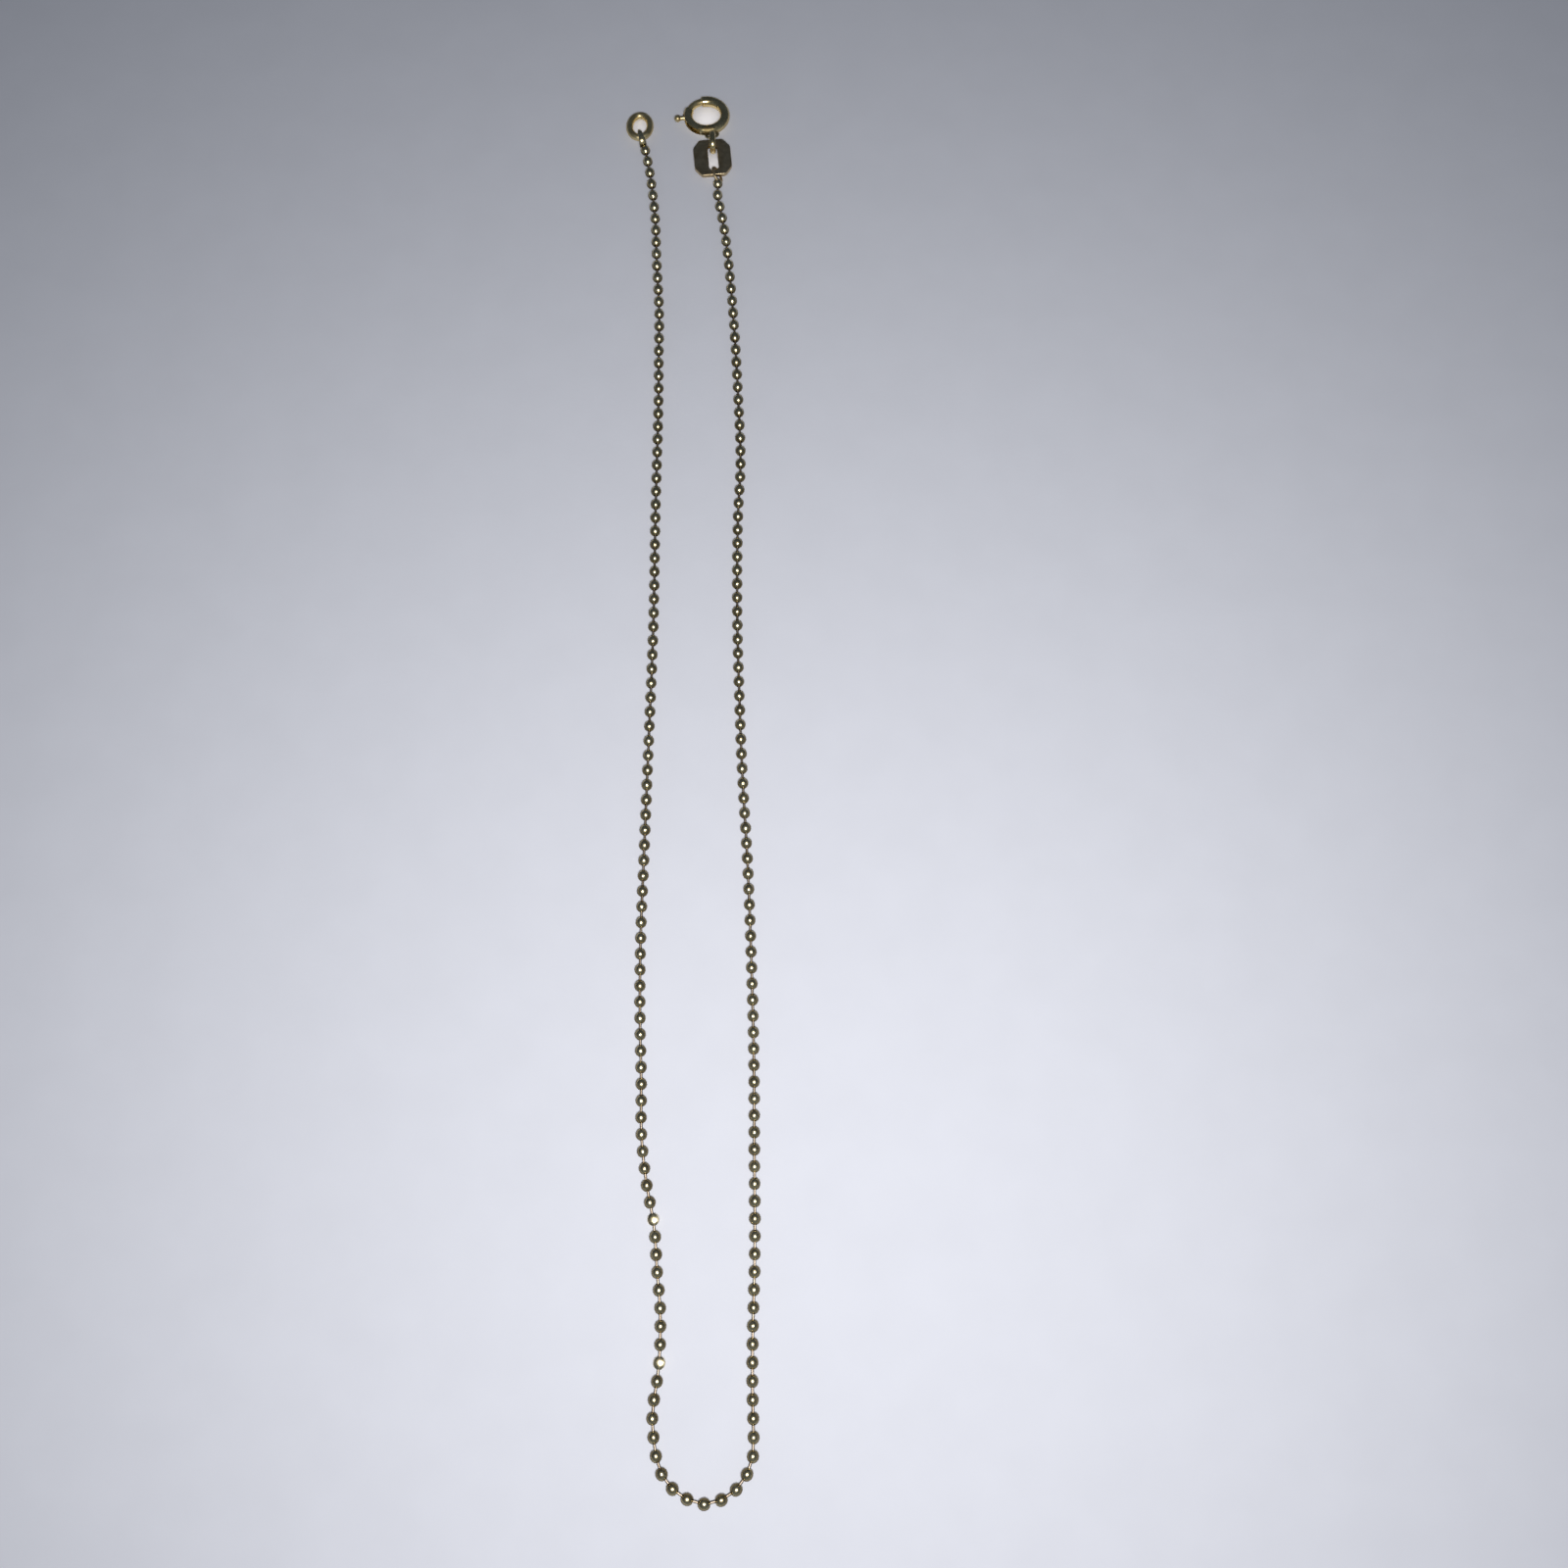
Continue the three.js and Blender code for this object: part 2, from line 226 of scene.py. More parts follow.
# Where the room goes from its far colour to its near one, on the Y and the Z of the way one looks.
ROOM_FRONT = {"From Min": 0.1, "From Max": -0.9}
ROOM_LOW = {"From Min": 0.85, "From Max": 0.2}

# The camera, the light beside it and the paper, in millimetres and degrees.
CAMERA = {"at": (8.6, -43.9, 122.3), "tip": 16.8, "lens": 34.67, "sensor": 36, "nearest": 5}
FLASH_AT = (11.8, -53, 126)
PAPER_SIDE = 1200
PAPER_DROP = 0.02  # the paper lies this much under the ground that the beads stand on

# Light that the polished inner walls throw on the paper: its middle, its size along X and Y, and microwatts.
GLEAMS = (
    {"name": "gleam in the clasp", "at": (1.07, 60.64, 1.0), "size": (2.2, 2.2), "power": 12},
    {"name": "gleam in the jump ring", "at": (-5.37, 59.6, 0.9), "size": (0.9, 1.5), "power": 4},
    {"name": "gleam in the tag", "at": (1.76, 55.65, 0.85), "size": (0.7, 2.3), "power": 5},
)
GLEAM_COLOUR = (1.0, 0.93, 0.82)


class AnkletStrandSettings(bpy.types.PropertyGroup):
    """Sizes of the bead strands."""

    rod_radius: FloatProperty(
        name="Rod radius",
        description="Radius of the rods between the beads",
        default=0.105 * MM,
        precision=6,
        unit="LENGTH",
    )
    spread: FloatProperty(
        name="Size spread",
        description="Share by which a bead may be smaller than the largest",
        default=0.03,
        subtype="FACTOR",
    )
    lean: FloatProperty(
        name="Lean",
        description="Largest angle by which a bead leans on its rod",
        default=math.radians(4),
        subtype="ANGLE",
    )
    seed: IntProperty(
        name="Seed",
        description="Start of the random kinds, sizes and turns of the beads",
        default=7,
    )


class AnkletGoldSettings(bpy.types.PropertyGroup):
    """Colours of the gold finishes."""

    chain: FloatVectorProperty(
        name="Chain gold",
        description="Colour of the beads, their rods and the left end loop",
        default=(0.82, 0.71, 0.44),
        size=3,
        subtype="COLOR",
    )
    ring: FloatVectorProperty(
        name="Ring gold",
        description="Colour of the jump ring, the loose link and the clasp",
        default=(0.8, 0.66, 0.36),
        size=3,
        subtype="COLOR",
    )
    plate: FloatVectorProperty(
        name="Plate gold",
        description="Colour of the tag plate and the right end loop",
        default=(0.62, 0.49, 0.3),
        size=3,
        subtype="COLOR",
    )


class AnkletStageSettings(bpy.types.PropertyGroup):
    """The paper under the anklet and the light on it."""

    paper: FloatVectorProperty(
        name="Paper",
        description="Colour of the paper",
        default=(0.772, 0.776, 0.835),
        size=3,
        subtype="COLOR",
    )
    room_far: FloatVectorProperty(
        name="Room beyond",
        description="Colour of the dim light from overhead and from the anklet's far end",
        default=(0.042, 0.054, 0.075),
        size=3,
        subtype="COLOR",
    )
    room_near: FloatVectorProperty(
        name="Room in front",
        description="Colour of the low light from the side of the viewer",
        default=(0.17, 0.2, 0.23),
        size=3,
        subtype="COLOR",
    )
    flash_power: FloatProperty(
        name="Light power",
        description="Power of the light beside the camera",
        default=0.163,
        unit="POWER",
    )
    flash_size: FloatProperty(
        name="Light size",
        description="Diameter of the light beside the camera",
        default=0.026,
        unit="LENGTH",
    )


def link_to_scene(thing):
    """An object, once it is in the scene."""
    bpy.context.scene.collection.objects.link(thing)
    return thing


def evaluated_mesh(thing):
    """What an object's modifiers make, as a plain mesh."""
    bpy.context.view_layer.update()
    evaluated = thing.evaluated_get(bpy.context.evaluated_depsgraph_get())
    return bpy.data.meshes.new_from_object(evaluated)


def shape_to_mesh(shape, name):
    """A bmesh as a mesh with closed seams and its faces pointing out."""
    bmesh.ops.remove_doubles(shape, verts=shape.verts, dist=SEAM)
    bmesh.ops.recalc_face_normals(shape, faces=shape.faces)
    mesh = bpy.data.meshes.new(name)
    shape.to_mesh(mesh)
    shape.free()
    return mesh


def rounded_outline(corners, rounding):
    """A closed outline's points, each corner rounded off from a distance along both its edges."""
    points = []
    for i, corner in enumerate(corners):
        before = corner + (corners[i - 1] - corner).normalized() * rounding
        after = corner + (corners[(i + 1) % len(corners)] - corner).normalized() * rounding
        for step in range(CORNER_STEPS + 1):
            share = step / CORNER_STEPS
            points.append(before.lerp(corner, share).lerp(corner.lerp(after, share), share))
    return points


def finished(name, mesh):
    """A piece of a mesh in its place, shaded smooth except at its edges."""
    mesh.shade_smooth()
    mesh.set_sharp_from_angle(angle=math.radians(SMOOTH_BELOW))
    mesh.name = name
    return link_to_scene(bpy.data.objects.new(name, mesh))


def make_piece(name, mesh, place, material):
    """A piece of a mesh in millimetres, which is put in its place in metres and given its material."""
    mesh.transform(Matrix.Scale(MM, 4) @ place)
    mesh.materials.clear()
    mesh.materials.append(material)
    return finished(name, mesh)


def dress(piece, body, slot, *nodes):
    """Put a piece on the body that it rides on and hide the nodes that it replaces. The material slot is not
    used.
    """
    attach(piece, body)
    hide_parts(*nodes)


def turn_about(axis, degrees):
    """A turn about an axis through the origin."""
    return Matrix.Rotation(math.radians(degrees), 4, axis)


def standing_place(link):
    """The place of a link that stands on edge, leans over by its roll and is turned about +Z."""
    on_edge = turn_about("Y", 90 - link["roll"])
    return Matrix.Translation(link["at"]) @ turn_about("Z", link["turn"]) @ on_edge


def lying_place(ring):
    """The place of a ring that lies nearly flat, tilted about X."""
    return Matrix.Translation(ring["at"]) @ turn_about("X", ring["tilt"])


def direction(angle):
    """The level direction at an angle in radians from +X."""
    return Vector((math.cos(angle), math.sin(angle), 0))


def add_ring(shape, centre, side, up, radius, sides):
    """Corners of one round section, anticlockwise from the side direction to the up direction."""
    ring = []
    for i in range(sides):
        angle = math.tau * i / sides
        offset = math.cos(angle) * side + math.sin(angle) * up
        ring.append(shape.verts.new(centre + radius * offset))
    return ring


def skin(shape, rings, closed=False):
    """Faces from each ring of corners to the next, with end caps unless the rings close on themselves."""
    pairs = list(zip(rings, rings[1:]))
    if closed:
        pairs.append((rings[-1], rings[0]))
    else:
        shape.faces.new(rings[0])
        shape.faces.new(rings[-1])
    for first, second in pairs:
        for i in range(len(first)):
            j = (i + 1) % len(first)
            shape.faces.new((first[i], second[i], second[j], first[j]))


def link_mesh(link, name):
    """A closed link of wire, lying flat: an oval, or a ring cut in half and drawn apart along Y.

    The wire's breadth across the link may change evenly from its near end to its far one.
    """
    shape = bmesh.new()
    wire = link["wire"]
    near = link.get("breadth", wire)
    far = link.get("far_breadth", near)
    middle = (link["width"] - wire) / 2
    draw = (link["length"] - link["width"]) / 2
    rings = []
    for i in range(LINK_STEPS):
        side = direction(math.tau * (i + 0.5) / LINK_STEPS)
        if link.get("oval"):
            centre = Vector((middle * side.x, (middle + draw) * side.y, 0))
            side = Vector((side.x / middle, side.y / (middle + draw), 0)).normalized()
        else:
            centre = middle * side + Vector((0, math.copysign(draw, side.y), 0))
        rings.append(add_ring(shape, centre, side, UP, wire / 2, WIRE_SIDES))
    skin(shape, rings, closed=True)
    for corner in shape.verts:
        share = corner.co.y / link["length"] + 0.5
        corner.co.z *= (near + (far - near) * share) / wire
    return shape_to_mesh(shape, name)


def bent_bar(name, radius, bar, start, end, rounding=0.0):
    """A round bar bent level about the origin from one angle to another, the edges of its ends rounded."""
    angles = [math.pi / 2]
    if rounding:
        angles = [math.pi / 2 * i / EDGE_STEPS for i in range(EDGE_STEPS + 1)]
    edge = []
    for angle in angles:
        inset = math.degrees(rounding * (1 - math.cos(angle)) / radius)
        edge.append((inset, bar - rounding * (1 - math.sin(angle))))
    first, last = start + edge[-1][0], end - edge[-1][0]
    steps = math.ceil((last - first) / TUBE_STEP)
    stations = [(start + inset, size) for inset, size in edge]
    stations += [(first + (last - first) * i / steps, bar) for i in range(1, steps)]
    stations += [(end - inset, size) for inset, size in reversed(edge)]
    shape = bmesh.new()
    rings = []
    for degrees, size in stations:
        side = direction(math.radians(degrees))
        rings.append(add_ring(shape, radius * side, side, UP, size, TUBE_SIDES))
    skin(shape, rings)
    return shape_to_mesh(shape, name)


def join_and_cut(name, solids, cutters=()):
    """One mesh: the first solid with the others joined on and the cutters taken away."""
    body, *tools = [bpy.data.objects.new(name, mesh) for mesh in (*solids, *cutters)]
    link_to_scene(body)
    for number, tool in enumerate(tools, start=1):
        link_to_scene(tool)
        modifier = body.modifiers.new("cut or join", "BOOLEAN")
        modifier.operation = "UNION" if number < len(solids) else "DIFFERENCE"
        modifier.solver = "EXACT"
        modifier.object = tool
    mesh = evaluated_mesh(body)
    for thing in (body, *tools):
        bpy.data.objects.remove(thing)
    return mesh


def node_maker(tree):
    """A function that adds a node to a tree and sets its inputs or its settings by their names."""

    def add(kind, **values):
        node = tree.nodes.new(kind)
        for key, value in values.items():
            if key in node.inputs:
                node.inputs[key].default_value = value
            else:
                setattr(node, key, value)
        return node

    return add


def two_tones(tree, add, value, band, first, second):
    """A colour that changes with a value over a band, from the first tone to the second."""
    ramp = add("ShaderNodeValToRGB")
    for element, position, colour in zip(ramp.color_ramp.elements, band, (first, second)):
        element.position = position
        element.color = (*colour, 1.0)
    tree.links.new(value, ramp.inputs["Fac"])
    return ramp.outputs["Color"]


def new_material(name):
    """A material with its node tree, its shader and a function that adds nodes to the tree."""
    material = bpy.data.materials.new(name)
    material.use_nodes = True
    tree = material.node_tree
    return material, tree, tree.nodes["Principled BSDF"], node_maker(tree)


def shaded(tree, add, colour, value, band, first, second):
    """A colour times another that changes with a value over a band."""
    product = add("ShaderNodeVectorMath", operation="MULTIPLY")
    tree.links.new(colour, product.inputs[0])
    tree.links.new(two_tones(tree, add, value, band, first, second), product.inputs[1])
    return product.outputs["Vector"]


def side_shade_mask(tree, add, place):
    """How far the chain is spared its painted side shade: one on its top and all over a worn bead, less on
    its sides.
    """
    link = tree.links.new
    facing = add("ShaderNodeSeparateXYZ")
    link(add("ShaderNodeTexCoord").outputs["Normal"], facing.inputs["Vector"])
    along = add("ShaderNodeSeparateXYZ")
    link(place, along.inputs["Vector"])
    # The painted shade eases towards +Y.
    span = {"From Min": PAINTED_SHADE_FADE["from"] * MM, "From Max": PAINTED_SHADE_FADE["to"] * MM}
    shade_fade = add("ShaderNodeMapRange", **span, **{"To Max": PAINTED_SHADE_FADE["gain"]})
    link(along.outputs["Y"], shade_fade.inputs["Value"])
    total = add("ShaderNodeMath", operation="ADD")
    link(facing.outputs["Z"], total.inputs[0])
    link(shade_fade.outputs["Result"], total.inputs[1])
    most = add("ShaderNodeMath", operation="MAXIMUM")
    link(total.outputs[0], most.inputs[0])
    link(add("ShaderNodeAttribute", attribute_name="rubbed").outputs["Fac"], most.inputs[1])
    return most.outputs[0]


def from_solder(tree, add, place):
    """The distance from the solder, as a share of its reach."""
    gap = add("ShaderNodeVectorMath", operation="DISTANCE")
    gap.inputs[1].default_value = Vector(SOLDER["at"]) * MM
    tree.links.new(place, gap.inputs[0])
    share = add("ShaderNodeMath", operation="DIVIDE")
    share.inputs[1].default_value = SOLDER["reach"] * MM
    tree.links.new(gap.outputs["Value"], share.inputs[0])
    return share.outputs[0]


def gold_material(name, colour, finish):
    """Gold with cloudy tarnish, fine wear that varies the gloss, shallow dents and polishing lines.

    A finish with painted dark sides is for the chain: a painted shade darkens its base colour where it faces
    sideways or down, and its rods are duller. The others have the patch of solder.
    """
    material, tree, shader, add = new_material(name)
    link = tree.links.new
    shader.inputs["Metallic"].default_value = 1.0
    place = add("ShaderNodeTexCoord").outputs["Object"]

    clouds = add("ShaderNodeTexNoise", **CLOUDS)
    link(place, clouds.inputs["Vector"])
    dull = [channel * share for channel, share in zip(colour, TARNISH)]
    tint = two_tones(tree, add, clouds.outputs["Fac"], TARNISH_BAND, dull, colour)
    if finish["painted_dark_sides"]:
        rubbed = side_shade_mask(tree, add, place)
        # Painted shade: the base colour is darker where the surface faces sideways or down, less towards +Y,
        # not on worn beads.
        tint = shaded(tree, add, tint, rubbed, PAINTED_SHADE_BAND, PAINTED_SIDE_SHADE, BARE)
        rod = add("ShaderNodeAttribute", attribute_name="rod").outputs["Fac"]
        tint = shaded(tree, add, tint, rod, (0.0, 1.0), BARE, ROD_TINT)
    else:
        solder = from_solder(tree, add, place)
        tint = shaded(tree, add, tint, solder, (SOLDER_EDGE, 1.0), SOLDER_TINT, BARE)
    link(tint, shader.inputs["Base Color"])

    wear = add("ShaderNodeTexNoise", **WEAR)
    link(place, wear.inputs["Vector"])
    glossiest = finish["roughness"] * (1 - WEAR_SWING)
    dullest = finish["roughness"] * (1 + WEAR_SWING)
    band = {"From Min": WEAR_BAND[0], "From Max": WEAR_BAND[1]}
    gloss = add("ShaderNodeMapRange", **band, **{"To Min": glossiest, "To Max": dullest})
    link(wear.outputs["Fac"], gloss.inputs["Value"])
    if finish["painted_dark_sides"]:
        matt = add("ShaderNodeMapRange", **{"To Max": ROD_ROUGHNESS})
        link(rod, matt.inputs["Value"])
    else:
        patch = {"From Min": SOLDER_EDGE, "To Min": SOLDER_ROUGHNESS, "To Max": 0.0}
        matt = add("ShaderNodeMapRange", **patch)
        link(solder, matt.inputs["Value"])
    most = add("ShaderNodeMath", operation="MAXIMUM")
    link(gloss.outputs["Result"], most.inputs[0])
    link(matt.outputs["Result"], most.inputs[1])
    link(most.outputs[0], shader.inputs["Roughness"])

    dents = add("ShaderNodeTexNoise", **DENTS)
    link(place, dents.inputs["Vector"])
    course = add("ShaderNodeMapping", **LINE_COURSE)
    link(place, course.inputs["Vector"])
    lines = add("ShaderNodeTexNoise", **LINES)
    link(course.outputs["Vector"], lines.inputs["Vector"])
    dent_bump = add("ShaderNodeBump", Strength=finish["dents"], Distance=DENT_DEPTH * MM)
    link(dents.outputs["Fac"], dent_bump.inputs["Height"])
    line_bump = add("ShaderNodeBump", Strength=finish["lines"], Distance=LINE_DEPTH * MM)
    link(lines.outputs["Fac"], line_bump.inputs["Height"])
    link(dent_bump.outputs["Normal"], line_bump.inputs["Normal"])
    link(line_bump.outputs["Normal"], shader.inputs["Normal"])
    return material


def paper_material(colour):
    """Matt paper with faint clouds and fibres."""
    material, tree, shader, add = new_material("matt paper")
    link = tree.links.new
    for name, value in PAPER_GLOSS.items():
        shader.inputs[name].default_value = value
    place = add("ShaderNodeTexCoord").outputs["Object"]
    clouds = add("ShaderNodeTexNoise", **PAPER_CLOUDS)
    link(place, clouds.inputs["Vector"])
    shade = [PAPER_SHADE * channel for channel in colour]
    tint = two_tones(tree, add, clouds.outputs["Fac"], PAPER_BAND, shade, colour)
    link(tint, shader.inputs["Base Color"])
    fibres = add("ShaderNodeTexNoise", **FIBRES)
    link(place, fibres.inputs["Vector"])
    bump = add("ShaderNodeBump", Strength=FIBRE_STRENGTH, Distance=FIBRE_DEPTH * MM)
    link(fibres.outputs["Fac"], bump.inputs["Height"])
    link(bump.outputs["Normal"], shader.inputs["Normal"])
    return material


def dim_room(far, near):
    """A world that is dim all round and a little lighter low down on the viewer's side."""
    world = bpy.data.worlds.new("dim room")
    world.use_nodes = True
    tree = world.node_tree
    add = node_maker(tree)
    link = tree.links.new
    axes = add("ShaderNodeSeparateXYZ")
    link(add("ShaderNodeTexCoord").outputs["Generated"], axes.inputs["Vector"])
    front = add("ShaderNodeMapRange", **ROOM_FRONT)
    link(axes.outputs["Y"], front.inputs["Value"])
    low = add("ShaderNodeMapRange", **ROOM_LOW)
    link(axes.outputs["Z"], low.inputs["Value"])
    both = add("ShaderNodeMath", operation="MULTIPLY")
    link(front.outputs["Result"], both.inputs[0])
    link(low.outputs["Result"], both.inputs[1])
    colour = two_tones(tree, add, both.outputs[0], (0.0, 1.0), far, near)
    link(colour, tree.nodes["Background"].inputs["Color"])
    return world


def gold(name):
    """One of the gold finishes, made when it is first asked for."""
    title = f"{name} gold"
    finish = FINISHES[name]
    colour = getattr(bpy.context.scene.anklet_gold, finish["colour"])
    return bpy.data.materials.get(title) or gold_material(title, colour, finish)


def place_gleam(gleam):
    """Hang a small lamp that shines down on the paper and isn't seen itself or mirrored."""
    light = bpy.data.lights.new(gleam["name"], "AREA")
    light.shape = "ELLIPSE"
    light.size, light.size_y = (side * MM for side in gleam["size"])
    light.energy = gleam["power"] * MICROWATT
    light.color = GLEAM_COLOUR
    lamp = link_to_scene(bpy.data.objects.new(gleam["name"], light))
    lamp.location = Vector(gleam["at"]) * MM
    lamp.visible_camera = False
    lamp.visible_glossy = False


def bead_middles(node, end):
    """The middles of a strand's beads in metres, in order from its end loop.

    Each bead of the frame stands on a flat, and the bead's middle is over the middle of its corners. A
    strand starts at its end loop, and the next bead is always the nearest one left.
    """
    corners = np.array([vertex.co for vertex in frame["nodes"][node].data.vertices]) / MM
    corners = corners[np.abs(corners[:, 2]) < GROUND_BAND, :2]
    corners = np.unique(corners.round(DECIMALS), axis=0)
    middles = []
    while len(corners):
        near = np.hypot(*(corners - corners[0]).T) < FLAT_REACH
        if near.sum() == FLAT_CORNERS:
            middles.append(corners[near].mean(axis=0))
        corners = corners[~near]
    ordered = [np.array(end[:2])]
    while middles:
        gaps = [np.hypot(*(middle - ordered[-1])) for middle in middles]
        ordered.append(middles.pop(int(np.argmin(gaps))))
    return [Vector((x * MM, y * MM, BEAD_MIDDLE * MM)) for x, y in ordered[1:]]


def bead_kind(name, source, worn=False):
    """One kind of bead, threaded along Z, with its worn side, if it has one, towards +X."""
    shape = bmesh.new()
    side = Vector((1, 0, 0))
    across = Vector((0, 1, 0))
    end = math.radians(BEAD_END)
    rings = []
    for row in range(BEAD_ROWS):
        angle = end * (2 * row / (BEAD_ROWS - 1) - 1)
        centre = BEAD_HALF * math.sin(angle) / math.sin(end) * UP
        radius = BEAD_RADIUS * math.cos(angle)
        rings.append(add_ring(shape, centre, side, across, radius, BEAD_SIDES))
    skin(shape, rings)
    for corner in shape.verts:
        corner.co.xy *= 1 - source.uniform(0, BEAD_DENT)
        if worn and corner.co.x > WORN_FROM:
            corner.co.x = WORN_FROM + (corner.co.x - WORN_FROM) * WORN_SHARE
    bmesh.ops.scale(shape, vec=(MM, MM, MM), verts=shape.verts)
    bmesh.ops.recalc_face_normals(shape, faces=shape.faces)
    mesh = bpy.data.meshes.new(name)
    shape.to_mesh(mesh)
    shape.free()
    # Worn beads are spared the painted side shade.
    rubbed = mesh.attributes.new("rubbed", "FLOAT", "POINT")
    rubbed.data.foreach_set("value", [float(worn)] * len(mesh.vertices))
    return bpy.data.objects.new(name, mesh)


def strand_tree():
    """Geometry nodes that thread beads on a rod along a line of points, and the identifiers of the inputs."""
    tree = bpy.data.node_groups.new("bead strand", "GeometryNodeTree")
    tree.interface.new_socket("Strand", in_out="OUTPUT", socket_type="NodeSocketGeometry")
    kinds = {
        "Line": "Geometry",
        "Beads": "Collection",
        "Kinds": "Int",
        "Rod Radius": "Float",
        "Rod Sides": "Int",
        "Size Spread": "Float",
        "Lean": "Float",
        "Seed": "Int",
        "Gold": "Material",
    }
    identifiers = {}
    for name, kind in kinds.items():
        socket = tree.interface.new_socket(name, in_out="INPUT", socket_type="NodeSocket" + kind)
        identifiers[name] = socket.identifier
    given = tree.nodes.new("NodeGroupInput").outputs
    link = tree.links.new

    def add(kind, **settings):
        """A node with its settings, whose inputs are set or linked afterwards."""
        node = tree.nodes.new(kind)
        for key, value in settings.items():
            setattr(node, key, value)
        return node

    def calculate(operation, first, second):
        """The result of a sum, of which each term is a number or another node's result."""
        node = add("ShaderNodeMath", operation=operation)
        for socket, value in zip(node.inputs, (first, second)):
            if isinstance(value, (int, float)):
                socket.default_value = value
            else:
                link(value, socket)
        return node.outputs[0]

    def scatter(data_type, least, most, step):
        """A random value for each bead between two others, its seed a step on from the given one."""
        node = add("FunctionNodeRandomValue", data_type=data_type)
        ends = [socket for socket in node.inputs if socket.enabled and socket.name in {"Min", "Max"}]
        for socket, value in zip(ends, (least, most)):
            if isinstance(value, (int, float)):
                socket.default_value = value
            else:
                link(value, socket)
        link(calculate("ADD", given["Seed"], step), node.inputs["Seed"])
        return next(socket for socket in node.outputs if socket.enabled)

    def marks(name):
        """Which points of the line have a mark."""
        node = add("GeometryNodeInputNamedAttribute", data_type="BOOLEAN")
        node.inputs["Name"].default_value = name
        return node.outputs["Attribute"]

    line = add("GeometryNodeMeshToCurve")
    link(given["Line"], line.inputs["Mesh"])

    section = add("GeometryNodeCurvePrimitiveCircle")
    link(given["Rod Sides"], section.inputs["Resolution"])
    link(given["Rod Radius"], section.inputs["Radius"])
    rod = add("GeometryNodeCurveToMesh")
    rod.inputs["Fill Caps"].default_value = True
    link(line.outputs["Curve"], rod.inputs["Curve"])
    link(section.outputs["Curve"], rod.inputs["Profile Curve"])
    marked = add("GeometryNodeStoreNamedAttribute", data_type="FLOAT", domain="POINT")
    marked.inputs["Name"].default_value = "rod"
    value = next(socket for socket in marked.inputs if socket.enabled and socket.name == "Value")
    value.default_value = 1.0
    link(rod.outputs["Mesh"], marked.inputs["Geometry"])

    beads = add("GeometryNodeCollectionInfo")
    beads.inputs["Separate Children"].default_value = True
    link(given["Beads"], beads.inputs["Collection"])
    kind = scatter("INT", 0, calculate("SUBTRACT", given["Kinds"], 1), 0)
    pick = add("GeometryNodeSwitch", input_type="INT")
    link(marks("worn"), pick.inputs["Switch"])
    link(kind, pick.inputs["False"])
    link(given["Kinds"], pick.inputs["True"])
    along = add("FunctionNodeAlignRotationToVector", axis="Z")
    link(add("GeometryNodeInputTangent").outputs["Tangent"], along.inputs["Vector"])
    upright = add("FunctionNodeAlignRotationToVector", axis="X", pivot_axis="Z")
    upright.inputs["Vector"].default_value = UP
    link(along.outputs["Rotation"], upright.inputs["Rotation"])
    size = scatter("FLOAT", calculate("SUBTRACT", 1.0, given["Size Spread"]), 1.0, 1)
    thread = add("GeometryNodeInstanceOnPoints")
    thread.inputs["Pick Instance"].default_value = True
    link(line.outputs["Curve"], thread.inputs["Points"])
    link(marks("bead"), thread.inputs["Selection"])
    link(beads.outputs["Instances"], thread.inputs["Instance"])
    link(pick.outputs["Output"], thread.inputs["Instance Index"])
    link(upright.outputs["Rotation"], thread.inputs["Rotation"])
    link(size, thread.inputs["Scale"])

    least = add("ShaderNodeCombineXYZ")
    most = add("ShaderNodeCombineXYZ")
    backwards = calculate("MULTIPLY", given["Lean"], -1.0)
    for axis in ("X", "Y"):
        link(backwards, least.inputs[axis])
        link(given["Lean"], most.inputs[axis])
    most.inputs["Z"].default_value = math.tau
    lean = scatter("FLOAT_VECTOR", least.outputs["Vector"], most.outputs["Vector"], 2)
    loose = add("FunctionNodeBooleanMath", operation="NOT")
    link(marks("worn"), loose.inputs[0])
    turn = add("GeometryNodeRotateInstances")
    link(thread.outputs["Instances"], turn.inputs["Instances"])
    link(loose.outputs["Boolean"], turn.inputs["Selection"])
    link(lean, turn.inputs["Rotation"])

    together = add("GeometryNodeJoinGeometry")
    link(marked.outputs["Geometry"], together.inputs["Geometry"])
    link(turn.outputs["Instances"], together.inputs["Geometry"])
    real = add("GeometryNodeRealizeInstances")
    link(together.outputs["Geometry"], real.inputs["Geometry"])
    gilded = add("GeometryNodeSetMaterial")
    link(real.outputs["Geometry"], gilded.inputs["Geometry"])
    link(given["Gold"], gilded.inputs["Material"])
    link(gilded.outputs["Geometry"], add("NodeGroupOutput").inputs["Strand"])
    return tree, identifiers


def rod_line(name, middles, start, end, worn):
    """The line that a strand's rod follows, with marks on the points of its beads and of the worn ones."""
    points = [start, *middles, end]
    last = len(points) - 1
    mesh = bpy.data.meshes.new(name)
    mesh.from_pydata(points, [(i, i + 1) for i in range(last)], [])
    bead = mesh.attributes.new("bead", "BOOLEAN", "POINT")
    bead.data.foreach_set("value", [0 < i < last for i in range(len(points))])
    marks = mesh.attributes.new("worn", "BOOLEAN", "POINT")
    marks.data.foreach_set("value", [i - 1 in worn for i in range(len(points))])
    return mesh


def tag_outline():
    """The points round the tag plate, anticlockwise."""
    half_width = TAG["width"] / 2
    half_length = TAG["length"] / 2
    inner_width = half_width - TAG["corner_depth"]
    inner_length = half_length - TAG["corner"]
    corners = [(inner_width, -half_length), (half_width, -inner_length)]
    corners += [(half_width, inner_length), (inner_width, half_length)]
    corners += [(-inner_width, half_length), (-half_width, inner_length)]
    corners += [(-half_width, -inner_length), (-inner_width, -half_length)]
    return rounded_outline([Vector(corner) for corner in corners], TAG["rounding"])


